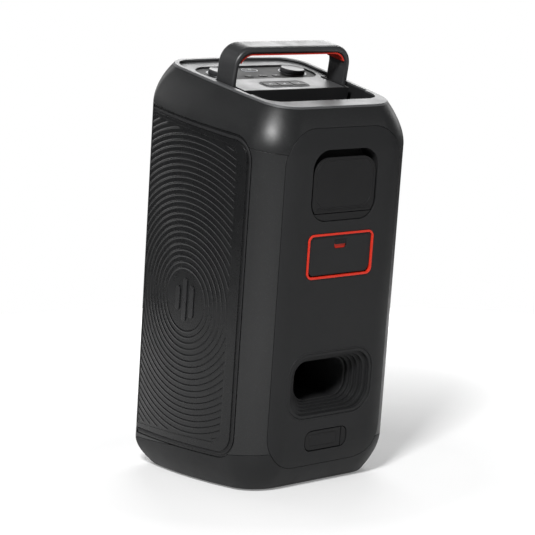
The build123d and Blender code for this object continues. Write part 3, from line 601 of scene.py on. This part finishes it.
# ------------------------------------------------------------------ handle
def handle_cap():
    """A crowned cover along the top of the grip, wrapped a little way down both corners."""
    straight, corner, cross = HANDLE_HALF - 28.0, 28.0, HANDLE_DEEP / 2 - 3.6
    reach = straight + corner * math.radians(50)
    along = np.linspace(-reach, reach, 141)
    ts = np.linspace(-cross, cross, 25)
    points = []
    for a in along:
        turn = max(0.0, abs(a) - straight) / corner
        for t in ts:
            edge = min(reach - abs(a), cross - abs(t))
            lift = 0.75 * math.sqrt(max(0.0, 1 - (1 - min(edge, 2.0) / 2.0) ** 2)) - 0.25
            x = min(abs(a), straight) + (corner + lift) * math.sin(turn)
            h = HANDLE_TOP - corner + (corner + lift) * math.cos(turn)
            points.append((math.copysign(x, a), HINGE_T + t, h))
    big_piece("handle_cap", deck(np.array(points)), grid_quads(141, 25)[:, ::-1], "handle_shell", "handle")


handle_cap()


# ------------------------------------------------------------------ rear details
REAR_UP = (0, 1, 0)


def rear_loop(half_w, half_h, r, x, v, out, n=10):
    loop = rounded_loop(half_w, half_h, r, n) + (x, v)
    return on_rear(np.column_stack([loop, np.full(len(loop), out)]))


bead("port_lip", rear_loop(76.6, 48.1, 34.0, 0, 164.2, -0.1, 16), 1.3, "body_matte", flat=0.45, up=REAR_UP)
bead("socket_cover_rim", rear_loop(49.5, 33.0, 19.0, 0, 449.0, -1.0, 12), 0.9, "soft_cover",
     "socket_flap", flat=0.5,
     up=REAR_UP)
for k in range(3):
    bead(f"socket_hinge_rib_{k}", on_rear([(x, 412.6 + 1.9 * k, -1.0) for x in np.linspace(-46, 46, 12)]),
         0.55,
         "soft_cover", "socket_flap", closed=False, flat=0.6, up=REAR_UP)
bead("mains_cover_rim", rear_loop(24.5, 8.6, 5.0, 5.0, 82.9, -1.0, 8), 0.7, "soft_cover", "mains_flap",
     flat=0.5,
     up=REAR_UP)
for k in range(3):
    bead(f"latch_rib_{k}", on_rear([(x, 365.9 + 1.6 * k, -0.9) for x in np.linspace(-8, 8, 6)]), 0.4,
         "key", "latch",
         closed=False, flat=0.7, up=REAR_UP)


# ------------------------------------------------------------------ underside
def base_screw(name, x, y):
    """A sunk screw in the base, with a cross recess."""
    profile = [(4.6, 0.0), (4.4, -0.5), (3.9, -0.9), (3.6, -0.6), (2.4, -0.35), (1.3, -0.3), (0.02, -0.3)]
    angle = np.linspace(0, 2 * math.pi, 40, endpoint=False)
    rows = []
    for r, h in profile:
        dent = 0.7 * (np.abs(np.cos(2 * angle)) > 0.93) if r < 2.6 else 0.0
        z = 3.0 + h + dent
        rows.append(np.stack([x + r * np.cos(angle), y + r * np.sin(angle), z + 0 * angle], -1))
    points = np.concatenate(rows) / 1000
    mesh = bpy.data.meshes.new(name)
    mesh.from_pydata([tuple(p) for p in points], [],
                     [tuple(q) for q in grid_quads(len(profile), 40, True)[:, ::-1]])
    mesh.polygons.foreach_set("use_smooth", [True] * len(mesh.polygons))
    mesh.materials.append(MATERIALS["steel"])
    obj = bpy.data.objects.new(name, mesh)
    bpy.context.scene.collection.objects.link(obj)
    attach(obj, "cabinet")


for k, (x, y) in enumerate(((-60, -104), (60, -104), (-60, 62), (60, 62))):
    base_screw(f"base_screw_{k}", x, y)


# ------------------------------------------------------------------ floor, light and camera
FLOOR_R = 1.5


def floor():
    """A round pale floor that brightens to the white of the background at its rim."""
    turn = np.linspace(0, 2 * math.pi, 97)[:-1]
    mesh = bpy.data.meshes.new("floor")
    mesh.from_pydata([(FLOOR_R * math.cos(a), FLOOR_R * math.sin(a), 0) for a in turn], [],
                     [tuple(range(96))])
    n = Nodes("pale_floor")
    reach = n.add("ShaderNodeVectorMath", operation="LENGTH")
    n.link(n.place, reach.inputs[0])
    tint = n.mix(n.spread(n.noise(3.0), 0.0, 1.0), (0.6, 0.6, 0.6), (0.62, 0.62, 0.62))
    n.set(Base_Color=tint, Roughness=0.7, Emission_Color=(1.0, 1.0, 1.0),
          Emission_Strength=n.spread(reach.outputs["Value"], 0.22, 1.0, 0.3, FLOOR_R))
    mesh.materials.append(n.mat)
    obj = bpy.data.objects.new("floor", mesh)
    bpy.context.scene.collection.objects.link(obj)


def area(name, place, target, size, power):
    data = bpy.data.lights.new(name, "AREA")
    data.shape = "RECTANGLE"
    data.size, data.size_y = size
    data.energy = power
    obj = bpy.data.objects.new(name, data)
    obj.location = place
    obj.rotation_euler = (Vector(target) - Vector(place)).to_track_quat("-Z", "Y").to_euler()
    bpy.context.scene.collection.objects.link(obj)


def studio():
    """A dim white room for the light on the object, seen by the camera as plain white."""
    data = bpy.data.worlds.new("studio")
    data.use_nodes = True
    tree = data.node_tree
    back = tree.nodes["Background"]
    path = tree.nodes.new("ShaderNodeLightPath")
    level = tree.nodes.new("ShaderNodeMapRange")
    level.inputs["To Min"].default_value = 0.1
    level.inputs["To Max"].default_value = 1.0
    tree.links.new(path.outputs["Is Camera Ray"], level.inputs["Value"])
    tree.links.new(level.outputs[0], back.inputs["Strength"])
    back.inputs["Color"].default_value = (1.0, 1.0, 1.0, 1)
    bpy.context.scene.world = data


floor()
studio()
MIDDLE = (0.0, 0.0, 0.34)
area("key", (1.7, 1.35, 2.0), (0.0, 0.0, 0.55), (0.5, 0.5), 110)
area("top_soft", (-1.4, -1.66, 1.55), (0.0, 0.0, 0.6), (1.6, 1.1), 24)
area("side_strip", (2.3, 0.2, 1.1), MIDDLE, (0.2, 1.2), 2.5)
area("rear_fill", (-1.6, 2.2, 0.9), MIDDLE, (0.6, 1.8), 4)
area("front_fill", (0.5, -2.7, 1.5), MIDDLE, (1.6, 1.6), 16)
area("left_fill", (-2.6, -0.6, 1.4), MIDDLE, (1.2, 1.4), 10)


def camera():
    back = Vector((math.sin(AZIMUTH) * math.cos(ELEVATION), -math.cos(AZIMUTH) * math.cos(ELEVATION),
                   math.sin(ELEVATION)))
    right = Vector((0, 0, 1)).cross(back).normalized()
    up = back.cross(right)
    data = bpy.data.cameras.new("camera")
    data.lens = LENS
    data.sensor_width = SENSOR
    data.clip_end = 50.0
    obj = bpy.data.objects.new("camera", data)
    place = Vector((0, CENTRE_Y / 1000, AIM_HEIGHT)) + DISTANCE * back
    obj.matrix_world = Matrix((right, up, back)).transposed().to_4x4()
    obj.matrix_world.translation = place
    bpy.context.scene.collection.objects.link(obj)
    bpy.context.scene.camera = obj


camera()
bpy.context.scene.view_settings.view_transform = "Standard"
